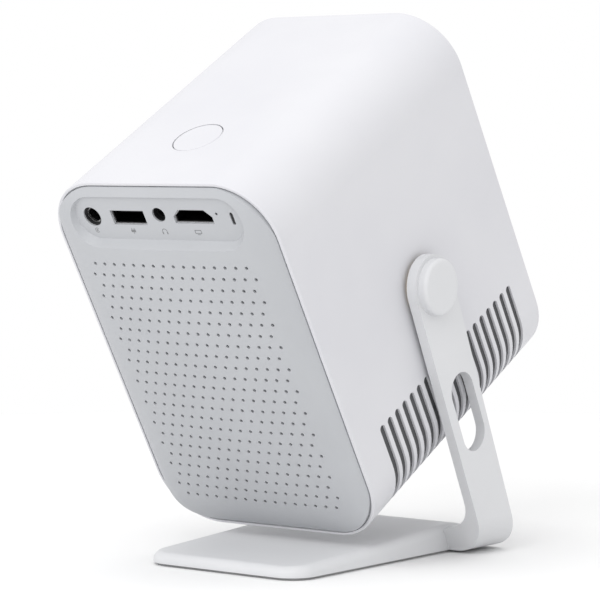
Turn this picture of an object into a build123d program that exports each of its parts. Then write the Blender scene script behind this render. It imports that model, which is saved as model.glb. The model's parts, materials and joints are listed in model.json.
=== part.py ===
from build123d import *
import os

# Home projector on a one-sided tilting stand, in millimetres.
# The frame stands on the floor under the tilt axis. X points to the arm side,
# Y points the way the lens projects and Z is up. The head is drawn level about
# its tilt axis and placed at its rest tilt by HEAD.

# ---- stand ----
TILT = 30
HEAD_CLEARANCE = 29.75
ARM_GAP = 1.5
ARM_THICKNESS = 3.5
ARM_LEAN = 25.5
ARM_END_RADIUS = 10.5
ARM_FOOT_REAR = 11.3
ARM_FOOT_FRONT = 6.2
ARM_OVERRUN = 34.5
ARM_SPARE = 20.0
BEND_OUTER_RADIUS = 11.5
BEND_INNER_RADIUS = 8.5
ARM_HOLE_WIDTH = 12.6
ARM_HOLE_LENGTH = 28.0
ARM_HOLE_START = 31.9
ARM_HOLE_OFFSET = 0.4
BASE_LEFT = -29.3
BASE_INBOARD = 15.0
BASE_REAR = -52.4
BASE_FRONT = 50.0
BASE_CORNER = 9.0
BASE_REAR_HEIGHT = 4.3
BASE_CREST_HEIGHT = 9.4
BASE_CREST_Y = 31.0
BASE_NOSE_HEIGHT = 3.4
BASE_EDGE_ROUND = 3.0
BASE_LIFT = 0.9
COVER_INSET = 1.4
COVER_THICKNESS = 1.6
MAT_THICKNESS = 1.0
WEIGHT_SIZE = (46.0, 58.0)
WEIGHT_CORNER = 3.0
POCKET_GAP = 0.1
BASE_SCREW_X = 10.0
BASE_SCREW_INSET = 11.0
WEIGHT_THICKNESS = 2.2
WEIGHT_Y = 6.0
CAP_RADIUS = 9.2
CAP_THICKNESS = 3.2
CAP_ROUND = 1.3

# ---- head ----
HEAD_WIDTH = 89.0
HEAD_HEIGHT = 131.4
HEAD_CENTRE_Z = 4.95
HEAD_REAR = -55.3
HEAD_FRONT = 55.1
HEAD_CORNER = 20.0
WALL = 2.2
RIM = 1.0
RIM_DEPTH = 3.0
RIM_ROUND = 0.45
PANEL_GAP = 0.5
PANEL_FIT = 0.05
GROOVE_DEPTH = 0.6
PANEL_WALL = 2.2
PANEL_SKIRT = 2.0
CROWN_SOFT = 1.6
CROWN_EDGE = 3.3
CROWN_POWER = 12

# ---- perforated field in the rear panel ----
HOLE_RADIUS = 0.6
HOLE_PITCH_X = 4.1
HOLE_PITCH_Z = 4.09
HOLE_ROWS = 23
HOLES_PER_ROW = 17
HOLE_TOP_Z = 43.1

# ---- port recess ----
RECESS_DROP = 12.2
RECESS_WIDTH = 67.0
RECESS_HEIGHT = 15.1
RECESS_FLOOR = -56.3
RECESS_FLOOR_WALL = 2.0
RECESS_DRAFT = 33
DC_X, DC_RISE, DC_RADIUS = -27.0, 0.35, 3.4
USB_X, USB_RISE, USB_WIDTH, USB_HEIGHT = -11.95, 0.2, 13.7, 5.1
AUDIO_X, AUDIO_RISE, AUDIO_RADIUS = 0.9, 1.45, 2.5
HDMI_X, HDMI_RISE, HDMI_WIDTH, HDMI_HEIGHT = 14.4, 0.95, 15.4, 4.8
HDMI_BEVEL = 2.6
LED_X, LED_RISE, LED_RADIUS = 24.15, 2.15, 0.5
SLOT_X, SLOT_RISE, SLOT_WIDTH, SLOT_HEIGHT = 29.9, 0.55, 1.3, 4.4
JACK_LENGTH = 12.0
JACK_FLOOR = 2.0
JACK_RIM = 0.3
SOCKET_WALL = 0.8
TONGUE_LENGTH = 8.5
DC_SLEEVE_LENGTH = 8.0
DC_SLEEVE_WALL = 0.5
DC_WASHER_THICKNESS = 1.0
DC_PIN_RADIUS = 0.85
USB_TONGUE_RISE, USB_TONGUE_INSET, USB_TONGUE_THICKNESS = 0.9, 1.1, 1.7
AUDIO_BORE_RADIUS = 1.8
HDMI_TONGUE_RISE, HDMI_TONGUE_THICKNESS = 0.5, 1.0
LED_DEPTH = 4.0
RECEIVER_DEPTH = 5.0
RECEIVER_WIDTH = 4.5

# ---- side vents ----
VENT_COUNT = 19
VENT_PITCH = 4.583
VENT_WIDTH = 2.7
VENT_FIRST_Y = -40.5
VENT_RISE = 32.85
VENT_INNER_X = 21.0
VENT_WALL = 0.8
MESH_THICKNESS = 0.7
MESH_GAP = 0.05
MESH_MARGIN = 2.5
POCKET_SPARE = 1.25

# ---- power button ----
BUTTON_Y = -27.1
BUTTON_RADIUS = 8.2
BUTTON_GAP = 0.3
BUTTON_TRAVEL = 0.8
BUTTON_FLANGE = 1.0
STEM_RADIUS = 2.5
BUTTON_LIP = 1.3
BUTTON_ROUND = 0.3
BUTTON_CLICK_GAP = 0.1
SWITCH_SIZE = 6.0
SWITCH_HEIGHT = 3.5

# ---- hinge ----
SHAFT_RADIUS = 4.0
SHAFT_FIT = 0.05
SHAFT_SPARE = 0.4
SHAFT_BEVEL = 0.5
SHAFT_SHOULDER = 2.5
SHAFT_HEAD = 1.5
BUSH_WALL = 2.0
BUSH_LIP = 2.5
BUSH_FLANGE = 1.0
BRACKET_SIZE = 34.0
BRACKET_THICKNESS = 2.0
BRACKET_SCREW = 12.5
NUT_THICKNESS = 3.0
NUT_WALL = 2.5
WASHER_WALL = 3.5
WASHER_THICKNESS = 0.9

# ---- chassis and boards ----
CHASSIS_GAP = 6.3
CHASSIS_WALL = 2.0
CHASSIS_UNDER_TOP = 18.65
CHASSIS_OVER_BOTTOM = 8.75
CHASSIS_REAR = -20.0
CHASSIS_FRONT = 46.0
BOARD_THICKNESS = 1.6
BOARD_FRONT = 5.0
BOSS_INSET = 4.5
BOSS_BELOW = 8.0
BOSS_RADIUS = 2.4
FLANGE_SIZE = 6.8
PANEL_SINK = 2.2
LUG_SIZE = 8.0
LUGS = [(34.0, -14.0), (34.0, 36.0), (-14.0, 36.0)]
BOARD_SCREW_INSET = 3.0
BOARD_SCREW_PLACES = (-15.0, 1.0)
PROCESSOR_PLACE = (18.0, -24.0)
PROCESSOR_SIZE = 14.0
MEMORY_PLACES = [(-20.0, -22.0), (-20.0, -8.0)]
MEMORY_SIZE = (9.0, 7.0)
CHIP_HEIGHT = 1.4
CAPACITOR_PLACES = [(-30.0, -30.0), (30.0, -20.0), (30.0, -8.0)]
CAPACITOR_RADIUS = 3.0
CAPACITOR_HEIGHT = 7.0
DRIVER_PLACE = (10.0, 12.0)
DRIVER_SIZE = 34.0

# ---- optics ----
ENGINE_GAP = 7.0
ENGINE_REAR = -23.0
ENGINE_FRONT = 27.0
ENGINE_BOTTOM = -12.0
ENGINE_WALL = 2.5
BARREL_RADIUS = 18.0
BARREL_FIT = 0.05
BARREL_REAR = 23.0
BARREL_FRONT = 51.6
MOUNT_WALL = 2.0
MOUNT_FLANGE = 5.0
MOUNT_FLANGE_THICKNESS = 3.0
MOUNT_FRONT = 49.0
BARREL_WALL = 2.5
BARREL_HOLE_GAP = 0.5
LENS_EDGE = 2.0
FRONT_LENS_Y, FRONT_LENS_BULGE = 46.1, 2.6
REAR_LENS_Y, REAR_LENS_BULGE = 27.0, 1.6
BARREL_BEVEL = 1.2
RING_ROUND = 0.6
RING_WALL = 5.0
RING_GRIPS = 36
RING_GRIP_RADIUS = 0.7
RING_REAR = 44.5
RING_FRONT = 54.9
RING_FIT = 0.08
FRONT_PANEL_FACE = 54.6
FRONT_OPENING_GAP = 0.5
LED_PLATE = 30.0
LED_PLATE_THICKNESS = 2.0
LED_SEAT = 3.0
LED_CHIP = 9.0
LED_CHIP_THICKNESS = 1.0
CONDENSER_RADIUS = 14.0
CONDENSER_LIP = 3.0
CONDENSER_THICKNESS = 7.0
CONDENSER_ROUND = 4.0
FRESNEL_PLACES = (2.0, 14.0)
LCD_PLACE = 8.0
SHEET_THICKNESS = 2.0
SINK_WIDTH = 56.0
SINK_INSET = 3.0
SINK_BASE = 4.0
SINK_REAR = -46.0
FIN_COUNT = 14
FIN_THICKNESS = 1.2

# ---- fan and speaker ----
FAN_SIZE = 60.0
FAN_THICKNESS = 15.0
FAN_MARGIN = 5.0
FAN_STRUT = 3.0
FAN_STRUT_THICKNESS = 1.5
FAN_CORNER = 4.0
BLADE_THICKNESS = 1.2
BLADE_ANGLE = 38
HUB_START = 2.0
HUB_HEIGHT = 12.0
FAN_PIN_SPARE = 3.0
BLADE_OVERLAP = 0.5
FAN_Y = 13.0
FAN_BORE_RADIUS = 28.0
FAN_BLADE_RADIUS = 27.0
FAN_HUB_RADIUS = 11.5
FAN_PIN_RADIUS = 1.5
FAN_PIN_FIT = 0.05
BLADE_COUNT = 7
SPEAKER_RISE = 32.75
SPEAKER_RADIUS = 22.0
SPEAKER_FACE = -50.0
SPEAKER_DEPTH = 18.0
SPEAKER_SEAT = 8.3
SPEAKER_SEAT_WALL = 1.5
SPEAKER_RIM = 1.5
MAGNET_RADIUS = 12.0
MAGNET_START = 9.0
VOICE_RADIUS = 7.0

# ---- fasteners ----
SCREW_RADIUS = 1.1
SCREW_HEAD_RADIUS = 2.1
SCREW_HEAD = 1.2
SCREW_LENGTH = 1.5
BOSS_SCREW_DEPTH = 10.0
RUN_GAP = 0.1

# ---- worked out from the values above ----
BOTTOM_UP = (Align.CENTER, Align.CENTER, Align.MIN)
HEAD_TOP = HEAD_CENTRE_Z + HEAD_HEIGHT / 2
HEAD_BOTTOM = HEAD_CENTRE_Z - HEAD_HEIGHT / 2
PIVOT_HEIGHT = HEAD_CLEARANCE - HEAD_BOTTOM
HEAD = Location((0, 0, PIVOT_HEIGHT), (TILT, 0, 0))
HEAD_UP = Vector(0, 0, 1).rotate(Axis.X, TILT)
HEAD_AHEAD = Vector(0, 1, 0).rotate(Axis.X, TILT)
HEAD_AXIS = Axis((0, 0, 0), HEAD_AHEAD)
SIDE_X = HEAD_WIDTH / 2
INNER_X = SIDE_X - WALL
ARM_INNER_X = SIDE_X + ARM_GAP
ARM_OUTER_X = ARM_INNER_X + ARM_THICKNESS
ARM_LENGTH = PIVOT_HEIGHT + ARM_OVERRUN
ARM_TOP = PIVOT_HEIGHT + ARM_SPARE
BASE_RIGHT = ARM_OUTER_X - BASE_INBOARD
BASE_MIDDLE_X = (BASE_LEFT + BASE_RIGHT) / 2
BASE_MIDDLE_Y = (BASE_REAR + BASE_FRONT) / 2
COVER_WIDTH = BASE_RIGHT - BASE_LEFT - 2 * COVER_INSET
COVER_LENGTH = BASE_FRONT - BASE_REAR - 2 * COVER_INSET
COVER_CORNER = BASE_CORNER - COVER_INSET
COVER_TOP = MAT_THICKNESS + COVER_THICKNESS
BASE_SCREWS = [
    (BASE_MIDDLE_X + side * BASE_SCREW_X, y)
    for side in (-1, 1)
    for y in (BASE_REAR + BASE_SCREW_INSET, BASE_FRONT - BASE_SCREW_INSET)
]
BRACKET_X = INNER_X - BRACKET_THICKNESS
BRACKET_SCREWS = [(y, z) for y in (-BRACKET_SCREW, BRACKET_SCREW) for z in (-BRACKET_SCREW, BRACKET_SCREW)]
WASHER_X = BRACKET_X - RUN_GAP
NUT_X = WASHER_X - WASHER_THICKNESS
SHAFT_END_X = NUT_X - NUT_THICKNESS - SHAFT_SPARE
SHAFT_HEAD_RADIUS = SHAFT_RADIUS + SHAFT_SHOULDER
BUSH_RADIUS = SHAFT_RADIUS + BUSH_WALL
BUSH_FLANGE_RADIUS = BUSH_RADIUS + BUSH_LIP
NUT_ACROSS_FLATS = 2 * (SHAFT_RADIUS + NUT_WALL)
WASHER_RADIUS = SHAFT_RADIUS + WASHER_WALL
PANEL_WIDTH = HEAD_WIDTH - 2 * (RIM + PANEL_GAP)
PANEL_HEIGHT = HEAD_HEIGHT - 2 * (RIM + PANEL_GAP)
PANEL_SEAT = HEAD_REAR + RIM_DEPTH
CROWN_HEIGHT = CROWN_SOFT + CROWN_EDGE
CROWN_REACH = RIM_DEPTH + CROWN_HEIGHT + 1
FLOOR_INNER_Y = RECESS_FLOOR + RECESS_FLOOR_WALL
JACK_REAR_Y = FLOOR_INNER_Y + JACK_LENGTH
JACK_FLOOR_Y = JACK_REAR_Y - JACK_FLOOR
RECESS_Z = HEAD_TOP - RECESS_DROP
DC_Z = RECESS_Z + DC_RISE
USB_Z = RECESS_Z + USB_RISE
AUDIO_Z = RECESS_Z + AUDIO_RISE
HDMI_Z = RECESS_Z + HDMI_RISE
LED_Z = RECESS_Z + LED_RISE
SLOT_Z = RECESS_Z + SLOT_RISE
VENT_TOP_Z = HEAD_BOTTOM + VENT_RISE
MESH_TOP = VENT_TOP_Z + MESH_MARGIN
MESH_INNER_X = VENT_INNER_X - MESH_MARGIN
MESH_REAR = VENT_FIRST_Y - MESH_MARGIN
MESH_FRONT = VENT_FIRST_Y + (VENT_COUNT - 1) * VENT_PITCH + MESH_MARGIN
CHASSIS_HALF = INNER_X - CHASSIS_GAP
CHASSIS_TOP = HEAD_TOP - CHASSIS_UNDER_TOP
CHASSIS_BOTTOM = HEAD_BOTTOM + CHASSIS_OVER_BOTTOM
BOSS_X = CHASSIS_HALF - BOSS_INSET
BOSS_Z = CHASSIS_TOP - BOSS_BELOW
BOARD_TOP = CHASSIS_TOP + BOARD_THICKNESS
BUTTON_TOP = HEAD_TOP - WALL - RUN_GAP
SWITCH_TOP = BOARD_TOP + SWITCH_HEIGHT
FAN_BOTTOM = CHASSIS_BOTTOM + CHASSIS_WALL
SPEAKER_Z = HEAD_BOTTOM + SPEAKER_RISE
ENGINE_HALF = CHASSIS_HALF - ENGINE_GAP
ENGINE_TOP = CHASSIS_TOP - CHASSIS_WALL
ENGINE_HEIGHT = ENGINE_TOP - ENGINE_BOTTOM
AXIS_Z = (ENGINE_TOP + ENGINE_BOTTOM) / 2
SINK_FACE = ENGINE_REAR - LED_PLATE_THICKNESS
SINK_HEIGHT = ENGINE_HEIGHT - 2 * SINK_INSET
MOUNT_LENGTH = MOUNT_FRONT - ENGINE_FRONT
MOUNT_RADIUS = BARREL_RADIUS + MOUNT_WALL
RING_RADIUS = MOUNT_RADIUS + RING_WALL
LENS_RADIUS = BARREL_RADIUS - BARREL_WALL
BOSSES = [(x, z) for x in (-BOSS_X, BOSS_X) for z in (-BOSS_Z, BOSS_Z)]
BOARD_SCREWS = [
    (side * (CHASSIS_HALF - BOARD_SCREW_INSET), y)
    for side in (-1, 1)
    for y in BOARD_SCREW_PLACES
]
ENGINE_INSIDE_WIDTH = 2 * (ENGINE_HALF - ENGINE_WALL)
ENGINE_INSIDE_HEIGHT = ENGINE_HEIGHT - 2 * ENGINE_WALL
HDMI_OUTLINE = [
    (HDMI_X - HDMI_WIDTH / 2, HDMI_Z - HDMI_HEIGHT / 2),
    (HDMI_X + HDMI_WIDTH / 2, HDMI_Z - HDMI_HEIGHT / 2),
    (HDMI_X + HDMI_WIDTH / 2, HDMI_Z),
    (HDMI_X + HDMI_WIDTH / 2 - HDMI_BEVEL, HDMI_Z + HDMI_HEIGHT / 2),
    (HDMI_X - HDMI_WIDTH / 2 + HDMI_BEVEL, HDMI_Z + HDMI_HEIGHT / 2),
    (HDMI_X - HDMI_WIDTH / 2, HDMI_Z),
]
PERFORATIONS = [
    ((column - (count - 1) / 2) * HOLE_PITCH_X, HOLE_TOP_Z - row * HOLE_PITCH_Z)
    for row in range(HOLE_ROWS)
    for count in [HOLES_PER_ROW - 1 + row % 2]
    for column in range(count)
]


def in_head(x, y, z, turn=(0, 0, 0)):
    """A place in the level head, moved to the head's rest tilt."""
    return HEAD * Location((x, y, z), turn)


def facing_rear(depth):
    """Sketch plane in the head whose normal points out of the back."""
    return Plane(origin=in_head(0, depth, 0).position, x_dir=(1, 0, 0), z_dir=-HEAD_AHEAD)


def facing_right(across):
    """Sketch plane in the head whose normal points to the arm side."""
    return Plane(origin=in_head(across, 0, 0).position, x_dir=HEAD_AHEAD, z_dir=(1, 0, 0))


def facing_up(height):
    """Sketch plane in the head whose normal points out of the top."""
    return Plane(origin=in_head(0, 0, height).position, x_dir=(1, 0, 0), z_dir=HEAD_UP)


def along_lens(depth, height):
    """Sketch plane whose first axis is across the head and second is forward."""
    return Plane(origin=in_head(0, depth, height).position, x_dir=(1, 0, 0), z_dir=HEAD_UP)


def socket_body(x, opening_top, half_width):
    """Outline of a board socket, from the board to over its opening."""
    top = opening_top + SOCKET_WALL
    with Locations((x, (top + BOARD_TOP) / 2)):
        Rectangle(2 * (half_width + SOCKET_WALL), top - BOARD_TOP)


def wall_outline(inset, mode=Mode.ADD):
    """The head's cross-section, drawn inset by a wall, in the open sketch."""
    RectangleRounded(HEAD_WIDTH - 2 * inset, HEAD_HEIGHT - 2 * inset, HEAD_CORNER - inset, mode=mode)


def cover_outline(gap):
    """The stand's underside cover, drawn outset by a gap, in the open sketch."""
    with Locations((BASE_MIDDLE_X, BASE_MIDDLE_Y)):
        RectangleRounded(COVER_WIDTH + 2 * gap, COVER_LENGTH + 2 * gap, COVER_CORNER + gap)


def weight_outline(gap):
    """The weight plate, drawn outset by a gap, in the open sketch."""
    width, length = WEIGHT_SIZE
    with Locations((BASE_MIDDLE_X, WEIGHT_Y)):
        RectangleRounded(width + 2 * gap, length + 2 * gap, WEIGHT_CORNER + gap)


def crown_height(x, z):
    """How far the rear panel bulges past its rim at a point of its outline."""
    u = x / (PANEL_WIDTH / 2)
    v = (z - HEAD_CENTRE_Z) / (PANEL_HEIGHT / 2)
    soft = CROWN_SOFT * (1 - u**2) * (1 - v**2)
    edge = CROWN_EDGE * (1 - u**CROWN_POWER - v**CROWN_POWER)
    return soft + edge


def crown_solid(inset):
    """Everything in front of the crowned surface, drawn inset by a wall."""
    columns = 41
    rows = 57
    grid = []
    for i in range(columns):
        x = PANEL_WIDTH * 0.51 * (2 * i / (columns - 1) - 1)
        line = []
        for j in range(rows):
            z = HEAD_CENTRE_Z + PANEL_HEIGHT * 0.51 * (2 * j / (rows - 1) - 1)
            line.append(Vector(x, HEAD_REAR - crown_height(x, z) + inset, z))
        grid.append(line)
    surface = Face.make_surface_from_array_of_points(grid, tol=0.01)
    return HEAD * Solid.extrude(surface, Vector(0, 2 * CROWN_REACH, 0))


# ==== stand ====
ARM_PLANE = Plane(
    origin=(ARM_OUTER_X, 0, PIVOT_HEIGHT),
    x_dir=Vector(0, 1, 0).rotate(Axis.X, ARM_LEAN),
    z_dir=(1, 0, 0),
)

# The arm is an L section bent at the foot, trimmed to a leaning strip.
with BuildPart() as arm:
    with BuildSketch(Plane.XZ):
        with BuildLine():
            Line((ARM_OUTER_X, ARM_TOP), (ARM_OUTER_X, BEND_OUTER_RADIUS + BASE_LIFT))
            RadiusArc(
                (ARM_OUTER_X, BEND_OUTER_RADIUS + BASE_LIFT),
                (ARM_OUTER_X - BEND_OUTER_RADIUS, BASE_LIFT),
                BEND_OUTER_RADIUS,
            )
            Polyline(
                (ARM_OUTER_X - BEND_OUTER_RADIUS, BASE_LIFT),
                (BASE_RIGHT - BASE_CORNER, BASE_LIFT),
                (BASE_RIGHT - BASE_CORNER, BASE_NOSE_HEIGHT),
                (ARM_INNER_X - BEND_INNER_RADIUS, BASE_CREST_HEIGHT),
            )
            RadiusArc(
                (ARM_INNER_X - BEND_INNER_RADIUS, BASE_CREST_HEIGHT),
                (ARM_INNER_X, BASE_CREST_HEIGHT + BEND_INNER_RADIUS),
                -BEND_INNER_RADIUS,
            )
            Polyline(
                (ARM_INNER_X, BASE_CREST_HEIGHT + BEND_INNER_RADIUS),
                (ARM_INNER_X, ARM_TOP),
                (ARM_OUTER_X, ARM_TOP),
            )
        make_face()
    extrude(amount=ARM_LENGTH, both=True)
    with BuildSketch(ARM_PLANE):
        Circle(ARM_END_RADIUS)
        with BuildLine():
            Polyline(
                (-ARM_END_RADIUS, 0),
                (-ARM_FOOT_REAR, -ARM_LENGTH),
                (ARM_FOOT_FRONT, -ARM_LENGTH),
                (ARM_END_RADIUS, 0),
                close=True,
            )
        make_face()
    extrude(amount=ARM_OUTER_X, both=True, mode=Mode.INTERSECT)
    with BuildSketch(ARM_PLANE):
        with Locations((-ARM_HOLE_OFFSET, -ARM_HOLE_START - ARM_HOLE_LENGTH / 2)):
            SlotOverall(ARM_HOLE_LENGTH, ARM_HOLE_WIDTH, rotation=90)
    extrude(amount=2 * ARM_THICKNESS, both=True, mode=Mode.SUBTRACT)

with BuildPart() as stand_frame:
    with BuildSketch(Plane.YZ.offset(BASE_LEFT)):
        with BuildLine():
            Polyline(
                (BASE_FRONT, BASE_NOSE_HEIGHT),
                (BASE_FRONT, BASE_LIFT),
                (BASE_REAR, BASE_LIFT),
                (BASE_REAR, BASE_REAR_HEIGHT),
                (BASE_CREST_Y, BASE_CREST_HEIGHT),
            )
            TangentArc(
                (BASE_CREST_Y, BASE_CREST_HEIGHT),
                (BASE_FRONT, BASE_NOSE_HEIGHT),
                tangent=(BASE_CREST_Y - BASE_REAR, BASE_CREST_HEIGHT - BASE_REAR_HEIGHT),
            )
        make_face()
    extrude(amount=BASE_RIGHT - BASE_LEFT)
    fillet(stand_frame.edges().filter_by(Axis.Z), radius=BASE_CORNER)
    upper = stand_frame.edges().filter_by_position(Axis.Z, BASE_NOSE_HEIGHT - RUN_GAP, PIVOT_HEIGHT)
    fillet(upper, radius=BASE_EDGE_ROUND)
    add(arm.part)
    # Underside: a rebate for the cover and a pocket above it for the weight.
    with BuildSketch(Plane.XY):
        cover_outline(POCKET_GAP)
    extrude(amount=COVER_TOP, mode=Mode.SUBTRACT)
    with BuildSketch(Plane.XY.offset(COVER_TOP)):
        weight_outline(POCKET_GAP)
    extrude(amount=WEIGHT_THICKNESS, mode=Mode.SUBTRACT)
    with Locations(*[Location((x, y, COVER_TOP)) for x, y in BASE_SCREWS]):
        Cylinder(SCREW_RADIUS, SCREW_LENGTH, align=BOTTOM_UP, mode=Mode.SUBTRACT)
    # Shaft bore and the seat for the shaft head, cut from the outer face.
    with Locations(Location((ARM_OUTER_X, 0, PIVOT_HEIGHT), (0, -90, 0))):
        Cylinder(SHAFT_RADIUS, ARM_THICKNESS, align=BOTTOM_UP, mode=Mode.SUBTRACT)
        Cylinder(SHAFT_HEAD_RADIUS, SHAFT_HEAD, align=BOTTOM_UP, mode=Mode.SUBTRACT)

with BuildPart() as base_weight:
    with BuildSketch(Plane.XY.offset(COVER_TOP)):
        weight_outline(0)
    extrude(amount=WEIGHT_THICKNESS)

with BuildPart() as base_cover:
    with BuildSketch(Plane.XY.offset(MAT_THICKNESS)):
        cover_outline(0)
    extrude(amount=COVER_THICKNESS)
    with Locations(*[Location((x, y, MAT_THICKNESS)) for x, y in BASE_SCREWS]):
        Cylinder(SCREW_RADIUS, COVER_THICKNESS, align=BOTTOM_UP, mode=Mode.SUBTRACT)
        Cylinder(SCREW_HEAD_RADIUS, SCREW_HEAD, align=BOTTOM_UP, mode=Mode.SUBTRACT)

with BuildPart() as foot_mat:
    with BuildSketch(Plane.XY):
        cover_outline(0)
    extrude(amount=MAT_THICKNESS)

with BuildPart() as base_screws:
    with Locations(*[Location((x, y, MAT_THICKNESS)) for x, y in BASE_SCREWS]):
        Cylinder(SCREW_HEAD_RADIUS, SCREW_HEAD, align=BOTTOM_UP)
        Cylinder(SCREW_RADIUS, COVER_THICKNESS + SCREW_LENGTH, align=BOTTOM_UP)

with BuildPart() as pivot_cap:
    with Locations(Location((ARM_OUTER_X, 0, PIVOT_HEIGHT), (0, 90, 0))):
        Cylinder(CAP_RADIUS, CAP_THICKNESS, align=BOTTOM_UP)
    fillet(pivot_cap.edges().sort_by(Axis.X)[-1], radius=CAP_ROUND)

# ==== hinge ====
with BuildPart() as pivot_shaft:
    with Locations(Location((SHAFT_END_X, 0, PIVOT_HEIGHT), (0, 90, 0))):
        Cylinder(SHAFT_RADIUS, ARM_OUTER_X - SHAFT_END_X, align=BOTTOM_UP)
    with Locations(Location((ARM_OUTER_X, 0, PIVOT_HEIGHT), (0, -90, 0))):
        Cylinder(SHAFT_HEAD_RADIUS, SHAFT_HEAD, align=BOTTOM_UP)
    chamfer(pivot_shaft.edges().sort_by(Axis.X)[0], length=SHAFT_BEVEL)

with BuildPart() as friction_washer:
    with Locations(Location((WASHER_X, 0, PIVOT_HEIGHT), (0, -90, 0))):
        Cylinder(WASHER_RADIUS, WASHER_THICKNESS, align=BOTTOM_UP)
        Cylinder(SHAFT_RADIUS, WASHER_THICKNESS, align=BOTTOM_UP, mode=Mode.SUBTRACT)

with BuildPart() as pivot_nut:
    with BuildSketch(Plane.YZ.offset(NUT_X)):
        with Locations((0, PIVOT_HEIGHT)):
            RegularPolygon(NUT_ACROSS_FLATS / 2, 6, major_radius=False)
            Circle(SHAFT_RADIUS, mode=Mode.SUBTRACT)
    extrude(amount=-NUT_THICKNESS)

with BuildPart() as hinge_bracket:
    with BuildSketch(facing_right(BRACKET_X)):
        RectangleRounded(BRACKET_SIZE, BRACKET_SIZE, 4)
        Circle(BUSH_RADIUS, mode=Mode.SUBTRACT)
        with GridLocations(2 * BRACKET_SCREW, 2 * BRACKET_SCREW, 2, 2):
            Circle(SCREW_RADIUS, mode=Mode.SUBTRACT)
    extrude(amount=BRACKET_THICKNESS)

with BuildPart() as hinge_bush:
    with Locations(in_head(BRACKET_X, 0, 0, (0, 90, 0))):
        Cylinder(BUSH_RADIUS, SIDE_X - BRACKET_X, align=BOTTOM_UP)
    with Locations(in_head(SIDE_X, 0, 0, (0, 90, 0))):
        Cylinder(BUSH_FLANGE_RADIUS, BUSH_FLANGE, align=BOTTOM_UP)
    with Locations(in_head(BRACKET_X, 0, 0, (0, 90, 0))):
        Cylinder(SHAFT_RADIUS + SHAFT_FIT, ARM_OUTER_X, align=BOTTOM_UP, mode=Mode.SUBTRACT)

with BuildPart() as bracket_screws:
    with Locations(*[in_head(BRACKET_X, y, z, (0, 90, 0)) for y, z in BRACKET_SCREWS]):
        Cylinder(SCREW_RADIUS, BRACKET_THICKNESS + WALL / 2, align=BOTTOM_UP)
    with Locations(*[in_head(BRACKET_X, y, z, (0, -90, 0)) for y, z in BRACKET_SCREWS]):
        Cylinder(SCREW_HEAD_RADIUS, SCREW_HEAD, align=BOTTOM_UP)

# ==== outer shell ====
with BuildPart() as vent_cuts:
    # One slot starts on the side, goes round the bottom corner and ends underneath.
    for side in (-1, 1):
        for i in range(VENT_COUNT):
            y = VENT_FIRST_Y + i * VENT_PITCH
            with BuildSketch(facing_right(side * (SIDE_X + 1))):
                with Locations((y, (VENT_TOP_Z + HEAD_BOTTOM) / 2)):
                    SlotOverall(VENT_TOP_Z - HEAD_BOTTOM + VENT_WIDTH, VENT_WIDTH, rotation=90)
            extrude(amount=-side * (SIDE_X + 1 - VENT_INNER_X))

# The wall is thinned from inside where the mesh lies against it.
with BuildPart() as vent_pocket:
    with BuildSketch(facing_rear(MESH_FRONT + POCKET_SPARE)):
        with Locations((0, HEAD_CENTRE_Z)):
            wall_outline(VENT_WALL)
            wall_outline(WALL + 1, Mode.SUBTRACT)
        with Locations((0, MESH_TOP + POCKET_SPARE + HEAD_HEIGHT / 2)):
            Rectangle(HEAD_WIDTH, HEAD_HEIGHT, mode=Mode.SUBTRACT)
        Rectangle(2 * (MESH_INNER_X - POCKET_SPARE), 2 * HEAD_HEIGHT, mode=Mode.SUBTRACT)
    extrude(amount=MESH_FRONT - MESH_REAR + 2 * POCKET_SPARE)

with BuildPart() as main_shell:
    with BuildSketch(facing_rear(HEAD_FRONT)):
        with Locations((0, HEAD_CENTRE_Z)):
            wall_outline(0)
    extrude(amount=HEAD_FRONT - HEAD_REAR)
    ends = main_shell.faces().filter_by(lambda face: abs(face.normal_at().dot(HEAD_AHEAD)) > 0.99)
    fillet(ends.edges(), radius=RIM_ROUND)
    with BuildSketch(facing_rear(HEAD_FRONT)):
        with Locations((0, HEAD_CENTRE_Z)):
            wall_outline(WALL)
    extrude(amount=HEAD_FRONT - HEAD_REAR, mode=Mode.SUBTRACT)
    for start in (HEAD_FRONT, PANEL_SEAT):
        with BuildSketch(facing_rear(start)):
            with Locations((0, HEAD_CENTRE_Z)):
                wall_outline(RIM)
        extrude(amount=RIM_DEPTH, mode=Mode.SUBTRACT)
    add(vent_cuts.part, mode=Mode.SUBTRACT)
    add(vent_pocket.part, mode=Mode.SUBTRACT)
    with Locations(in_head(0, BUTTON_Y, HEAD_TOP)):
        Cylinder(BUTTON_RADIUS + BUTTON_GAP, 4 * WALL, mode=Mode.SUBTRACT)
    with Locations(in_head(SIDE_X, 0, 0, (0, 90, 0))):
        Cylinder(BUSH_RADIUS, 4 * WALL, mode=Mode.SUBTRACT)
    with Locations(*[in_head(INNER_X, y, z, (0, 90, 0)) for y, z in BRACKET_SCREWS]):
        Cylinder(SCREW_RADIUS, WALL / 2, align=BOTTOM_UP, mode=Mode.SUBTRACT)

with BuildPart() as vent_mesh:
    with BuildSketch(facing_rear(MESH_FRONT)):
        with Locations((0, HEAD_CENTRE_Z)):
            wall_outline(VENT_WALL + MESH_GAP)
            wall_outline(VENT_WALL + MESH_GAP + MESH_THICKNESS, Mode.SUBTRACT)
        with Locations((0, MESH_TOP + HEAD_HEIGHT / 2)):
            Rectangle(HEAD_WIDTH, HEAD_HEIGHT, mode=Mode.SUBTRACT)
        Rectangle(2 * MESH_INNER_X, 2 * HEAD_HEIGHT, mode=Mode.SUBTRACT)
    extrude(amount=MESH_FRONT - MESH_REAR)

# ==== rear panel ====
crown = crown_solid(0)
crown_inside = crown_solid(PANEL_WALL)

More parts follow.
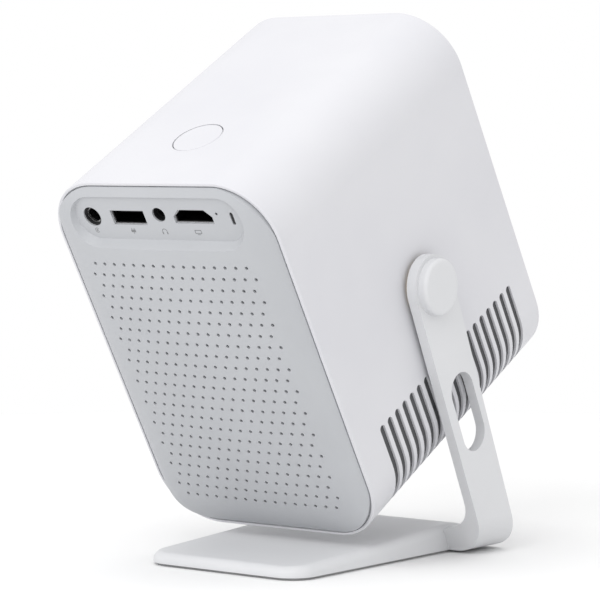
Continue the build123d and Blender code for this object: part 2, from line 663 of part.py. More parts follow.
with BuildPart() as panel_hollow:
    with BuildSketch(facing_rear(PANEL_SEAT)):
        with Locations((0, HEAD_CENTRE_Z)):
            wall_outline(RIM + PANEL_GAP + PANEL_SKIRT)
    extrude(amount=CROWN_REACH)
    add(crown_inside, mode=Mode.INTERSECT)
    with BuildSketch(facing_rear(FLOOR_INNER_Y)):
        with Locations((0, RECESS_Z)):
            Rectangle(HEAD_WIDTH, RECESS_HEIGHT + 4 * PANEL_SKIRT)
    extrude(amount=CROWN_REACH, mode=Mode.SUBTRACT)

with BuildPart() as rear_panel:
    with BuildSketch(facing_rear(PANEL_SEAT)):
        with Locations((0, HEAD_CENTRE_Z)):
            wall_outline(RIM + PANEL_GAP)
    extrude(amount=CROWN_REACH)
    add(crown, mode=Mode.INTERSECT)
    # A flange that fills the rebate, so the parting groove stays shallow.
    with BuildSketch(facing_rear(PANEL_SEAT)):
        with Locations((0, HEAD_CENTRE_Z)):
            wall_outline(RIM + PANEL_FIT)
    extrude(amount=RIM_DEPTH - GROOVE_DEPTH)
    add(panel_hollow.part, mode=Mode.SUBTRACT)
    # Bosses for the screws that come from the chassis, and the speaker seat.
    with Locations(*[in_head(x, CHASSIS_REAR, z, (90, 0, 0)) for x, z in BOSSES]):
        Cylinder(BOSS_RADIUS, CHASSIS_REAR - HEAD_REAR + PANEL_SINK, align=BOTTOM_UP)
        Cylinder(SCREW_RADIUS, BOSS_SCREW_DEPTH, align=BOTTOM_UP, mode=Mode.SUBTRACT)
    with Locations(in_head(0, SPEAKER_FACE, SPEAKER_Z, (90, 0, 0))):
        Cylinder(SPEAKER_RADIUS, SPEAKER_SEAT, align=BOTTOM_UP)
        Cylinder(SPEAKER_RADIUS - SPEAKER_SEAT_WALL, SPEAKER_SEAT, align=BOTTOM_UP, mode=Mode.SUBTRACT)
    # Port recess with sloping walls.
    with BuildSketch(facing_rear(RECESS_FLOOR)):
        with Locations((0, RECESS_Z)):
            SlotOverall(RECESS_WIDTH, RECESS_HEIGHT)
    extrude(amount=CROWN_HEIGHT + 1, taper=-RECESS_DRAFT, mode=Mode.SUBTRACT)
    with BuildSketch(facing_rear(FLOOR_INNER_Y)):
        with Locations((DC_X, DC_Z)):
            Circle(DC_RADIUS)
        with Locations((USB_X, USB_Z)):
            Rectangle(USB_WIDTH, USB_HEIGHT)
        with Locations((AUDIO_X, AUDIO_Z)):
            Circle(AUDIO_RADIUS)
        with Locations((LED_X, LED_Z)):
            Circle(LED_RADIUS)
        with Locations((SLOT_X, SLOT_Z)):
            SlotOverall(SLOT_HEIGHT, SLOT_WIDTH, rotation=90)
        with BuildLine():
            Polyline(*HDMI_OUTLINE, close=True)
        make_face()
    extrude(amount=RECESS_FLOOR_WALL, mode=Mode.SUBTRACT)
    with BuildSketch(facing_rear(HEAD_REAR - CROWN_HEIGHT - 1)):
        with Locations(*PERFORATIONS):
            Circle(HOLE_RADIUS)
    extrude(amount=-(CROWN_HEIGHT + 2), mode=Mode.SUBTRACT)

# ==== front ====
with BuildPart() as front_panel:
    with BuildSketch(facing_rear(FRONT_PANEL_FACE)):
        with Locations((0, HEAD_CENTRE_Z)):
            wall_outline(RIM + PANEL_GAP)
        with Locations((0, AXIS_Z)):
            Circle(RING_RADIUS + FRONT_OPENING_GAP, mode=Mode.SUBTRACT)
    extrude(amount=FRONT_PANEL_FACE - HEAD_FRONT + RIM_DEPTH)

# ==== chassis ====
with BuildPart() as chassis:
    with BuildSketch(facing_rear(CHASSIS_FRONT)):
        Rectangle(2 * CHASSIS_HALF, CHASSIS_TOP - CHASSIS_BOTTOM)
        Rectangle(
            2 * (CHASSIS_HALF - CHASSIS_WALL),
            CHASSIS_TOP - CHASSIS_BOTTOM - 2 * CHASSIS_WALL,
            mode=Mode.SUBTRACT,
        )
    extrude(amount=CHASSIS_FRONT - CHASSIS_REAR)
    # Flanges at the rear corners that the panel screws pull against.
    with BuildSketch(facing_rear(CHASSIS_REAR + CHASSIS_WALL)):
        with GridLocations(2 * CHASSIS_HALF - FLANGE_SIZE, 2 * BOSS_Z, 2, 2):
            Rectangle(FLANGE_SIZE, FLANGE_SIZE)
    extrude(amount=CHASSIS_WALL)
    with Locations(*[in_head(x, CHASSIS_REAR, z, (-90, 0, 0)) for x, z in BOSSES]):
        Cylinder(SCREW_RADIUS, CHASSIS_WALL, align=BOTTOM_UP, mode=Mode.SUBTRACT)
    # Lugs that reach the shell on both sides.
    for side in (-1, 1):
        with BuildSketch(facing_right(side * CHASSIS_HALF)):
            with Locations(*LUGS):
                Rectangle(LUG_SIZE, LUG_SIZE)
        extrude(amount=side * (INNER_X - CHASSIS_HALF))
    # Windows: round the hinge, in the far side, under the fan and over it.
    with Locations(in_head(CHASSIS_HALF, 0, 0, (0, 90, 0))):
        Cylinder(BRACKET_SIZE / 2, 4 * CHASSIS_WALL, mode=Mode.SUBTRACT)
    for side in (-1, 1):
        with BuildSketch(facing_right(side * CHASSIS_HALF)):
            with Locations((FAN_Y, FAN_BOTTOM + FAN_THICKNESS / 2)):
                RectangleRounded(FAN_SIZE - 2 * FAN_MARGIN, FAN_THICKNESS - FAN_MARGIN, 2)
        extrude(amount=-side * CHASSIS_WALL, mode=Mode.SUBTRACT)
    with Locations(in_head(0, FAN_Y, CHASSIS_BOTTOM)):
        Cylinder(FAN_BORE_RADIUS, 4 * CHASSIS_WALL, mode=Mode.SUBTRACT)
    with BuildSketch(facing_up(CHASSIS_TOP)):
        with Locations(*BOARD_SCREWS):
            Circle(SCREW_RADIUS)
    extrude(amount=-CHASSIS_WALL, mode=Mode.SUBTRACT)

with BuildPart() as shell_screws:
    with Locations(*[in_head(x, CHASSIS_REAR + CHASSIS_WALL, z, (90, 0, 0)) for x, z in BOSSES]):
        Cylinder(SCREW_RADIUS, CHASSIS_WALL + BOSS_SCREW_DEPTH, align=BOTTOM_UP)
    with Locations(*[in_head(x, CHASSIS_REAR + CHASSIS_WALL, z, (-90, 0, 0)) for x, z in BOSSES]):
        Cylinder(SCREW_HEAD_RADIUS, SCREW_HEAD, align=BOTTOM_UP)

# ==== boards and sockets ====
with BuildPart() as main_board:
    with BuildSketch(facing_up(CHASSIS_TOP)):
        with Locations((0, (BOARD_FRONT + FLOOR_INNER_Y) / 2)):
            Rectangle(2 * CHASSIS_HALF, BOARD_FRONT - FLOOR_INNER_Y)
        with Locations(*BOARD_SCREWS):
            Circle(SCREW_RADIUS, mode=Mode.SUBTRACT)
    extrude(amount=BOARD_THICKNESS)

with BuildPart() as board_screws:
    with BuildSketch(facing_up(CHASSIS_TOP - CHASSIS_WALL)):
        with Locations(*BOARD_SCREWS):
            Circle(SCREW_RADIUS)
    extrude(amount=CHASSIS_WALL + BOARD_THICKNESS)
    with BuildSketch(facing_up(BOARD_TOP)):
        with Locations(*BOARD_SCREWS):
            Circle(SCREW_HEAD_RADIUS)
    extrude(amount=SCREW_HEAD)

with BuildPart() as board_chips:
    with BuildSketch(facing_up(BOARD_TOP)):
        with Locations(PROCESSOR_PLACE):
            Rectangle(PROCESSOR_SIZE, PROCESSOR_SIZE)
        with Locations(*MEMORY_PLACES):
            Rectangle(*MEMORY_SIZE)
    extrude(amount=CHIP_HEIGHT)
    with BuildSketch(facing_up(BOARD_TOP)):
        with Locations(*CAPACITOR_PLACES):
            Circle(CAPACITOR_RADIUS)
    extrude(amount=CAPACITOR_HEIGHT)

with BuildPart() as driver_board:
    with BuildSketch(facing_right(-CHASSIS_HALF)):
        with Locations(DRIVER_PLACE):
            Rectangle(DRIVER_SIZE, DRIVER_SIZE)
    extrude(amount=-BOARD_THICKNESS)

with BuildPart() as dc_jack:
    with BuildSketch(facing_rear(JACK_REAR_Y)):
        socket_body(DC_X, DC_Z + DC_RADIUS, DC_RADIUS)
    extrude(amount=JACK_LENGTH)
    with Locations(in_head(DC_X, FLOOR_INNER_Y, DC_Z, (-90, 0, 0))):
        Cylinder(DC_RADIUS - JACK_RIM, JACK_LENGTH - JACK_FLOOR, align=BOTTOM_UP, mode=Mode.SUBTRACT)

# Spring sleeve and centre pin, joined by a washer at the bottom of the jack.
with BuildPart() as dc_contact:
    with Locations(in_head(DC_X, JACK_FLOOR_Y, DC_Z, (90, 0, 0))):
        Cylinder(DC_RADIUS - JACK_RIM, DC_SLEEVE_LENGTH, align=BOTTOM_UP)
        Cylinder(DC_RADIUS - JACK_RIM - DC_SLEEVE_WALL, DC_SLEEVE_LENGTH, align=BOTTOM_UP, mode=Mode.SUBTRACT)
        Cylinder(DC_RADIUS - JACK_RIM, DC_WASHER_THICKNESS, align=BOTTOM_UP)
        Cylinder(DC_PIN_RADIUS, DC_SLEEVE_LENGTH + DC_WASHER_THICKNESS, align=BOTTOM_UP)

with BuildPart() as usb_socket:
    with BuildSketch(facing_rear(JACK_REAR_Y)):
        socket_body(USB_X, USB_Z + USB_HEIGHT / 2, USB_WIDTH / 2)
    extrude(amount=JACK_LENGTH)
    with BuildSketch(facing_rear(JACK_FLOOR_Y)):
        with Locations((USB_X, USB_Z)):
            Rectangle(USB_WIDTH - 2 * JACK_RIM, USB_HEIGHT - 2 * JACK_RIM)
    extrude(amount=JACK_LENGTH, mode=Mode.SUBTRACT)

with BuildPart() as usb_tongue:
    with BuildSketch(facing_rear(JACK_FLOOR_Y)):
        with Locations((USB_X, USB_Z + USB_TONGUE_RISE)):
            Rectangle(USB_WIDTH - 2 * USB_TONGUE_INSET, USB_TONGUE_THICKNESS)
    extrude(amount=TONGUE_LENGTH)

with BuildPart() as audio_jack:
    with BuildSketch(facing_rear(JACK_REAR_Y)):
        socket_body(AUDIO_X, AUDIO_Z + AUDIO_RADIUS, AUDIO_RADIUS)
    extrude(amount=JACK_LENGTH)
    with Locations(in_head(AUDIO_X, FLOOR_INNER_Y, AUDIO_Z, (-90, 0, 0))):
        Cylinder(AUDIO_BORE_RADIUS, JACK_LENGTH - JACK_FLOOR, align=BOTTOM_UP, mode=Mode.SUBTRACT)

with BuildPart() as hdmi_socket:
    with BuildSketch(facing_rear(JACK_REAR_Y)):
        socket_body(HDMI_X, HDMI_Z + HDMI_HEIGHT / 2, HDMI_WIDTH / 2)
    extrude(amount=JACK_LENGTH)
    with BuildSketch(facing_rear(JACK_FLOOR_Y)):
        with BuildLine():
            Polyline(*HDMI_OUTLINE, close=True)
        make_face()
        offset(amount=-JACK_RIM)
    extrude(amount=JACK_LENGTH, mode=Mode.SUBTRACT)

with BuildPart() as hdmi_tongue:
    with BuildSketch(facing_rear(JACK_FLOOR_Y)):
        with Locations((HDMI_X, HDMI_Z + HDMI_TONGUE_RISE)):
            Rectangle(HDMI_WIDTH - 2 * HDMI_BEVEL, HDMI_TONGUE_THICKNESS)
    extrude(amount=TONGUE_LENGTH)

with BuildPart() as status_led:
    with BuildSketch(facing_rear(FLOOR_INNER_Y + LED_DEPTH)):
        with Locations((LED_X, (LED_Z + LED_RADIUS + BOARD_TOP) / 2)):
            Rectangle(4 * LED_RADIUS, LED_Z + LED_RADIUS - BOARD_TOP)
    extrude(amount=LED_DEPTH)

with BuildPart() as remote_receiver:
    with BuildSketch(facing_rear(FLOOR_INNER_Y + RECEIVER_DEPTH)):
        with Locations((SLOT_X, (SLOT_Z + SLOT_HEIGHT / 2 + SOCKET_WALL + BOARD_TOP) / 2)):
            Rectangle(RECEIVER_WIDTH, SLOT_Z + SLOT_HEIGHT / 2 + SOCKET_WALL - BOARD_TOP)
    extrude(amount=RECEIVER_DEPTH)

with BuildPart() as button_switch:
    with BuildSketch(facing_up(BOARD_TOP)):
        with Locations((0, BUTTON_Y)):
            Rectangle(SWITCH_SIZE, SWITCH_SIZE)
    extrude(amount=SWITCH_HEIGHT)

# ==== power button ====
with BuildPart() as power_button:
    with Locations(in_head(0, BUTTON_Y, HEAD_TOP, (180, 0, 0))):
        Cylinder(BUTTON_RADIUS, HEAD_TOP - BUTTON_TOP, align=BOTTOM_UP)
    fillet(power_button.edges().sort_by(Axis((0, 0, 0), HEAD_UP))[-1], radius=BUTTON_ROUND)
    with Locations(in_head(0, BUTTON_Y, BUTTON_TOP, (180, 0, 0))):
        Cylinder(BUTTON_RADIUS + BUTTON_LIP, BUTTON_FLANGE, align=BOTTOM_UP)
        Cylinder(STEM_RADIUS, BUTTON_TOP - SWITCH_TOP - BUTTON_TRAVEL - BUTTON_CLICK_GAP, align=BOTTOM_UP)

# ==== light engine ====
with BuildPart() as engine_case:
    with BuildSketch(facing_rear(ENGINE_FRONT)):
        with Locations((0, AXIS_Z)):
            Rectangle(2 * ENGINE_HALF, ENGINE_HEIGHT)
    extrude(amount=ENGINE_FRONT - ENGINE_REAR)
    with BuildSketch(facing_rear(ENGINE_FRONT - ENGINE_WALL)):
        with Locations((0, AXIS_Z)):
            Rectangle(ENGINE_INSIDE_WIDTH, ENGINE_INSIDE_HEIGHT)
    extrude(amount=ENGINE_FRONT - ENGINE_REAR - 2 * ENGINE_WALL, mode=Mode.SUBTRACT)
    with Locations(in_head(0, ENGINE_FRONT, AXIS_Z, (90, 0, 0))):
        Cylinder(BARREL_RADIUS + BARREL_HOLE_GAP, 4 * ENGINE_WALL, mode=Mode.SUBTRACT)
    with BuildSketch(facing_rear(ENGINE_REAR + ENGINE_WALL)):
        with Locations((0, AXIS_Z)):
            Rectangle(LED_PLATE - 2 * LED_SEAT, LED_PLATE - 2 * LED_SEAT)
    extrude(amount=ENGINE_WALL, mode=Mode.SUBTRACT)

with BuildPart() as led_module:
    with BuildSketch(facing_rear(ENGINE_REAR)):
        with Locations((0, AXIS_Z)):
            Rectangle(LED_PLATE, LED_PLATE)
    extrude(amount=LED_PLATE_THICKNESS)
    with BuildSketch(facing_rear(ENGINE_REAR + LED_CHIP_THICKNESS)):
        with Locations((0, AXIS_Z)):
            Rectangle(LED_CHIP, LED_CHIP)
    extrude(amount=LED_CHIP_THICKNESS)

with BuildPart() as heat_sink:
    with BuildSketch(facing_rear(SINK_FACE)):
        with Locations((0, AXIS_Z)):
            Rectangle(SINK_WIDTH, SINK_HEIGHT)
    extrude(amount=SINK_BASE)
    with BuildSketch(facing_rear(SINK_FACE - SINK_BASE)):
        with Locations((0, AXIS_Z)):
            with GridLocations((SINK_WIDTH - FIN_THICKNESS) / (FIN_COUNT - 1), 0, FIN_COUNT, 1):
                Rectangle(FIN_THICKNESS, SINK_HEIGHT)
    extrude(amount=SINK_FACE - SINK_BASE - SINK_REAR)

with BuildPart() as condenser_lens:
    with Locations(in_head(0, ENGINE_REAR + ENGINE_WALL, AXIS_Z, (-90, 0, 0))):
        Cylinder(CONDENSER_RADIUS + CONDENSER_LIP, SHEET_THICKNESS, align=BOTTOM_UP)
        Cylinder(CONDENSER_RADIUS, CONDENSER_THICKNESS, align=BOTTOM_UP)
    fillet(condenser_lens.edges().sort_by(HEAD_AXIS)[-1], radius=CONDENSER_ROUND)

with BuildPart() as fresnel_lenses:
    for y in FRESNEL_PLACES:
        with BuildSketch(facing_rear(y)):
            with Locations((0, AXIS_Z)):
                Rectangle(ENGINE_INSIDE_WIDTH, ENGINE_INSIDE_HEIGHT)
        extrude(amount=SHEET_THICKNESS)

with BuildPart() as lcd_panel:
    with BuildSketch(facing_rear(LCD_PLACE)):
        with Locations((0, AXIS_Z)):
            Rectangle(ENGINE_INSIDE_WIDTH, ENGINE_INSIDE_HEIGHT)
    extrude(amount=SHEET_THICKNESS)

with BuildPart() as lens_mount:
    with Locations(in_head(0, ENGINE_FRONT, AXIS_Z, (-90, 0, 0))):
        Cylinder(MOUNT_RADIUS, MOUNT_LENGTH, align=BOTTOM_UP)
        Cylinder(MOUNT_RADIUS + MOUNT_FLANGE, MOUNT_FLANGE_THICKNESS, align=BOTTOM_UP)
        Cylinder(BARREL_RADIUS + BARREL_FIT, MOUNT_LENGTH, align=BOTTOM_UP, mode=Mode.SUBTRACT)

with BuildPart() as lens_barrel:
    with Locations(in_head(0, BARREL_REAR, AXIS_Z, (-90, 0, 0))):
        Cylinder(BARREL_RADIUS, BARREL_FRONT - BARREL_REAR, align=BOTTOM_UP)
        Cylinder(LENS_RADIUS, BARREL_FRONT - BARREL_REAR, align=BOTTOM_UP, mode=Mode.SUBTRACT)
    front_rim = lens_barrel.edges().group_by(HEAD_AXIS)[-1]
    chamfer(front_rim.sort_by(SortBy.LENGTH)[0], length=BARREL_BEVEL)

with BuildPart() as lens_elements:
    for centre, bulge in ((FRONT_LENS_Y, FRONT_LENS_BULGE), (REAR_LENS_Y, REAR_LENS_BULGE)):
        with Locations(in_head(0, centre - LENS_EDGE / 2, AXIS_Z, (-90, 0, 0))):
            Cylinder(LENS_RADIUS, LENS_EDGE, align=BOTTOM_UP)
        sphere_radius = (LENS_RADIUS**2 + bulge**2) / (2 * bulge)
        with BuildSketch(along_lens(centre + LENS_EDGE / 2, AXIS_Z)):
            with BuildLine():
                Line((0, 0), (LENS_RADIUS, 0))
                RadiusArc((LENS_RADIUS, 0), (0, bulge), -sphere_radius)
                Line((0, bulge), (0, 0))
            make_face()
        revolve(axis=Axis(in_head(0, centre, AXIS_Z).position, HEAD_AHEAD))

with BuildPart() as focus_ring:
    with Locations(in_head(0, RING_REAR, AXIS_Z, (-90, 0, 0))):
        Cylinder(RING_RADIUS, RING_FRONT - RING_REAR, align=BOTTOM_UP)
    fillet(focus_ring.edges().group_by(HEAD_AXIS)[-1], radius=RING_ROUND)
    with Locations(in_head(0, RING_REAR, AXIS_Z, (-90, 0, 0))):
        Cylinder(MOUNT_RADIUS + RING_FIT, RING_FRONT - RING_REAR, align=BOTTOM_UP, mode=Mode.SUBTRACT)
    with Locations(in_head(0, RING_REAR, AXIS_Z, (-90, 0, 0))):
        with PolarLocations(RING_RADIUS, RING_GRIPS):
            Cylinder(RING_GRIP_RADIUS, 2 * (RING_FRONT - RING_REAR), mode=Mode.SUBTRACT)

# ==== fan ====
with BuildPart() as fan_frame:
    with BuildSketch(facing_up(FAN_BOTTOM)):
        with Locations((0, FAN_Y)):
            RectangleRounded(FAN_SIZE, FAN_SIZE, FAN_CORNER)
            Circle(FAN_BORE_RADIUS, mode=Mode.SUBTRACT)
    extrude(amount=FAN_THICKNESS)
    with BuildSketch(facing_up(FAN_BOTTOM)):
        with Locations((0, FAN_Y)):
            Circle(FAN_HUB_RADIUS)
            Rectangle(2 * FAN_BORE_RADIUS + 1, FAN_STRUT)
            Rectangle(FAN_STRUT, 2 * FAN_BORE_RADIUS + 1)
    extrude(amount=FAN_STRUT_THICKNESS)
    with Locations(in_head(0, FAN_Y, FAN_BOTTOM)):
        Cylinder(FAN_PIN_RADIUS, HUB_START + HUB_HEIGHT - FAN_PIN_SPARE, align=BOTTOM_UP)

with BuildPart() as fan_impeller:
    with BuildSketch(facing_up(FAN_BOTTOM + HUB_START)):
        with Locations((0, FAN_Y)):
            Circle(FAN_HUB_RADIUS)
            Circle(FAN_PIN_RADIUS + FAN_PIN_FIT, mode=Mode.SUBTRACT)
    extrude(amount=HUB_HEIGHT)
    with Locations(in_head(0, FAN_Y, FAN_BOTTOM + HUB_START + HUB_HEIGHT / 2)):
        with PolarLocations((FAN_HUB_RADIUS + FAN_BLADE_RADIUS) / 2 - BLADE_OVERLAP, BLADE_COUNT):
            Box(
                FAN_BLADE_RADIUS - FAN_HUB_RADIUS,
                BLADE_THICKNESS,
                FAN_THICKNESS,
                rotation=(BLADE_ANGLE, 0, 0),
            )
    with BuildSketch(facing_up(FAN_BOTTOM + HUB_START)):
        with Locations((0, FAN_Y)):
            Circle(FAN_BLADE_RADIUS)
    extrude(amount=HUB_HEIGHT, mode=Mode.INTERSECT)

# ==== speaker ====
with BuildPart() as speaker:
    with BuildSketch(along_lens(SPEAKER_FACE, SPEAKER_Z)):
        with BuildLine():
            Polyline(
                (0, SPEAKER_DEPTH),
                (0, VOICE_RADIUS),
                (VOICE_RADIUS, VOICE_RADIUS),
                (SPEAKER_RADIUS - 2 * SPEAKER_SEAT_WALL, 0),
                (SPEAKER_RADIUS, 0),
                (SPEAKER_RADIUS, SPEAKER_RIM),
                (SPEAKER_RADIUS - 2 * SPEAKER_SEAT_WALL, SPEAKER_RIM),
                (MAGNET_RADIUS, MAGNET_START),
                (MAGNET_RADIUS, SPEAKER_DEPTH),
                close=True,
            )
        make_face()
    revolve(axis=Axis(in_head(0, SPEAKER_FACE, SPEAKER_Z).position, HEAD_AHEAD))

pieces = {
    "stand_frame": stand_frame,
    "base_weight": base_weight,
    "base_cover": base_cover,
    "foot_mat": foot_mat,
    "base_screws": base_screws,
    "pivot_cap": pivot_cap,
    "pivot_shaft": pivot_shaft,
    "friction_washer": friction_washer,
    "pivot_nut": pivot_nut,
    "hinge_bracket": hinge_bracket,
    "hinge_bush": hinge_bush,
    "bracket_screws": bracket_screws,
    "main_shell": main_shell,
    "vent_mesh": vent_mesh,
    "rear_panel": rear_panel,
    "front_panel": front_panel,
    "chassis": chassis,
    "shell_screws": shell_screws,
    "main_board": main_board,
    "board_screws": board_screws,
    "board_chips": board_chips,
    "driver_board": driver_board,
    "dc_jack": dc_jack,
    "dc_contact": dc_contact,
    "usb_socket": usb_socket,
    "usb_tongue": usb_tongue,
    "audio_jack": audio_jack,
    "hdmi_socket": hdmi_socket,
    "hdmi_tongue": hdmi_tongue,
    "status_led": status_led,
    "remote_receiver": remote_receiver,
    "button_switch": button_switch,
    "power_button": power_button,
    "engine_case": engine_case,
    "led_module": led_module,
    "heat_sink": heat_sink,
    "condenser_lens": condenser_lens,
    "fresnel_lenses": fresnel_lenses,
    "lcd_panel": lcd_panel,
    "lens_mount": lens_mount,
    "lens_barrel": lens_barrel,
    "lens_elements": lens_elements,
    "focus_ring": focus_ring,
    "fan_frame": fan_frame,
    "fan_impeller": fan_impeller,
    "speaker": speaker,
}
os.makedirs("parts", exist_ok=True)
for name, piece in pieces.items():
    piece.part.label = name
    export_step(piece.part, f"parts/{name}.step")
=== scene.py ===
"""Home projector: finishes, printed port signs, floor, studio light and camera."""

import json
import math

import bmesh
import bpy
from mathutils import Matrix, Vector


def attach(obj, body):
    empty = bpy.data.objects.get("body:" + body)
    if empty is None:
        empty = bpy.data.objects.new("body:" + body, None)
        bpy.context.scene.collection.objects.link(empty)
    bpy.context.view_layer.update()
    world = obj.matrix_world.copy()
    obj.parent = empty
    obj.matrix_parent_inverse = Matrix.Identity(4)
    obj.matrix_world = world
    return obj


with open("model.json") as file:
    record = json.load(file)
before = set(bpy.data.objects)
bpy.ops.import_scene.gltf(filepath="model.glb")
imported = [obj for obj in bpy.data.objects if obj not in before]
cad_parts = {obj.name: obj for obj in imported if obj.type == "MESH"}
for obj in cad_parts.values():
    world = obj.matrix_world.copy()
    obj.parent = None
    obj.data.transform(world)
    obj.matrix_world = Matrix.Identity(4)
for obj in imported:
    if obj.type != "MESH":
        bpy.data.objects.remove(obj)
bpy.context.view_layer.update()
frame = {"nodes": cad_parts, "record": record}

MM = 0.001
TILT = math.radians(30)
PIVOT_HEIGHT = 0.0905
HEAD = Matrix.Translation((0, 0, PIVOT_HEIGHT)) @ Matrix.Rotation(TILT, 4, "X")
HEAD_AHEAD = Vector((0, math.cos(TILT), math.sin(TILT)))
HEAD_UP = Vector((0, -math.sin(TILT), math.cos(TILT)))
ACROSS = Vector((1, 0, 0))

# Port layout in the level head, in mm from the tilt axis: across, then up.
DC_X, DC_HEIGHT = -27.0, 58.8
USB_X, USB_HEIGHT = -11.95, 58.65
AUDIO_X, AUDIO_HEIGHT = 0.9, 59.9
HDMI_X, HDMI_HEIGHT = 14.4, 59.4
LED_X, LED_HEIGHT = 24.15, 60.6
WINDOW_X, WINDOW_HEIGHT = 29.9, 59.0
SIGN_HEIGHT = 53.9

# Mouths of the ports in the recess floor, in mm.
DC_RADIUS = 3.4
USB_WIDTH, USB_TALL = 13.7, 5.1
AUDIO_RADIUS = 2.5
HDMI_WIDTH, HDMI_TALL, HDMI_TOP = 15.4, 4.8, 10.2
WINDOW_RADIUS, WINDOW_REACH = 0.62, 1.55
LED_RADIUS = 0.47

# Depths along the head, in mm: the recess floor and what sits on it or in its openings.
INK_FRONT, INK_BACK = -56.33, -56.29
SLEEVE_FRONT, SLEEVE_BACK = -55.75, -54.35
AUDIO_FRONT = -55.7
DC_RING_FRONT = -55.1
WINDOW_FRONT = -55.9
LED_FRONT = -55.95
SLEEVE_GAP = 0.03
SLEEVE_WALL = 0.3

ROUND_STEPS = 48
SMALL_ROUND_STEPS = 24


# ---------------------------------------------------------------- material helpers


def new_material(name):
    """A node material with only its shader and output, and the shader itself."""
    material = bpy.data.materials.new(name)
    material.use_nodes = True
    shader = material.node_tree.nodes["Principled BSDF"]
    return material, shader


def add_node(material, kind, **settings):
    """A node of that kind with its plain properties set."""
    node = material.node_tree.nodes.new(kind)
    for key, value in settings.items():
        setattr(node, key, value)
    return node


def link(material, source, target):
    material.node_tree.links.new(source, target)


def object_noise(material, scale, detail=2.0, roughness=0.5, stretch=(1, 1, 1)):
    """Noise in object space, where scale is cycles in a metre."""
    place = add_node(material, "ShaderNodeTexCoord")
    mapping = add_node(material, "ShaderNodeMapping")
    mapping.inputs["Scale"].default_value = stretch
    noise = add_node(material, "ShaderNodeTexNoise")
    noise.inputs["Scale"].default_value = scale
    noise.inputs["Detail"].default_value = detail
    noise.inputs["Roughness"].default_value = roughness
    link(material, place.outputs["Object"], mapping.inputs["Vector"])
    link(material, mapping.outputs["Vector"], noise.inputs["Vector"])
    return noise.outputs["Fac"]


def distance_along(material, direction):
    """How far a point of the object lies along a direction, in metres."""
    place = add_node(material, "ShaderNodeTexCoord")
    along = add_node(material, "ShaderNodeVectorMath", operation="DOT_PRODUCT")
    along.inputs[1].default_value = direction
    link(material, place.outputs["Object"], along.inputs[0])
    return along.outputs["Value"]


def ridges(material, direction, pitch):
    """A wave along a direction that rises and falls once in each pitch."""
    turn = add_node(material, "ShaderNodeMath", operation="MULTIPLY")
    turn.inputs[1].default_value = 2 * math.pi / pitch
    wave = add_node(material, "ShaderNodeMath", operation="SINE")
    link(material, distance_along(material, direction), turn.inputs[0])
    link(material, turn.outputs["Value"], wave.inputs[0])
    return wave.outputs["Value"]


def multiply(material, first, second):
    node = add_node(material, "ShaderNodeMath", operation="MULTIPLY")
    link(material, first, node.inputs[0])
    link(material, second, node.inputs[1])
    return node.outputs["Value"]


def spread(material, value, low, high, start=0.0, end=1.0):
    """A value carried from start to end onto low to high."""
    node = add_node(material, "ShaderNodeMapRange")
    node.inputs["From Min"].default_value = start
    node.inputs["From Max"].default_value = end
    node.inputs["To Min"].default_value = low
    node.inputs["To Max"].default_value = high
    link(material, value, node.inputs["Value"])
    return node.outputs["Result"]


def blend_colours(material, value, low, high, start=0.35, end=0.65):
    """A soft blend of two colours over a value."""
    ramp = add_node(material, "ShaderNodeValToRGB")
    ramp.color_ramp.elements[0].position = start
    ramp.color_ramp.elements[0].color = (*low, 1)
    ramp.color_ramp.elements[1].position = end
    ramp.color_ramp.elements[1].color = (*high, 1)
    link(material, value, ramp.inputs["Fac"])
    return ramp.outputs["Color"]


def relief(material, height, strength, distance):
    bump = add_node(material, "ShaderNodeBump")
    bump.inputs["Strength"].default_value = strength
    bump.inputs["Distance"].default_value = distance
    link(material, height, bump.inputs["Height"])
    return bump.outputs["Normal"]


# ---------------------------------------------------------------- finishes


def moulded(name, low, high, rough=(0.42, 0.52), grain=2600, depth=0.00002, specular=0.4):
    """Spark-textured moulded plastic: faint tone drift, fine grain in gloss and relief."""
    material, shader = new_material(name)
    drift = object_noise(material, 18, 3)
    fine = object_noise(material, grain, 4, 0.6)
    link(material, blend_colours(material, drift, low, high), shader.inputs["Base Color"])
    link(material, spread(material, fine, *rough), shader.inputs["Roughness"])
    link(material, relief(material, fine, 0.25, depth), shader.inputs["Normal"])
    shader.inputs["Specular IOR Level"].default_value = specular
    return material


def bare_metal(name, low, high, rough, stretch=(1, 1, 1), scale=900):
    """Bare or plated metal with a worn or brushed gloss."""
    material, shader = new_material(name)
    grain = object_noise(material, scale, 3, 0.55, stretch)
    link(material, blend_colours(material, grain, low, high), shader.inputs["Base Color"])
    link(material, spread(material, grain, *rough), shader.inputs["Roughness"])
    link(material, relief(material, grain, 0.2, 0.00001), shader.inputs["Normal"])
    shader.inputs["Metallic"].default_value = 1.0
    return material


def clear_optic(name, low, high, rough, tint=(1, 1, 1, 1), ior=1.5):
    """Clear glass or acrylic with faint smears and a coated sheen."""
    material, shader = new_material(name)
    smear = object_noise(material, 60, 3)
    link(material, blend_colours(material, smear, low, high), shader.inputs["Base Color"])
    link(material, spread(material, smear, *rough), shader.inputs["Roughness"])
    shader.inputs["Transmission Weight"].default_value = 1.0
    shader.inputs["IOR"].default_value = ior
    shader.inputs["Specular Tint"].default_value = tint
    return material


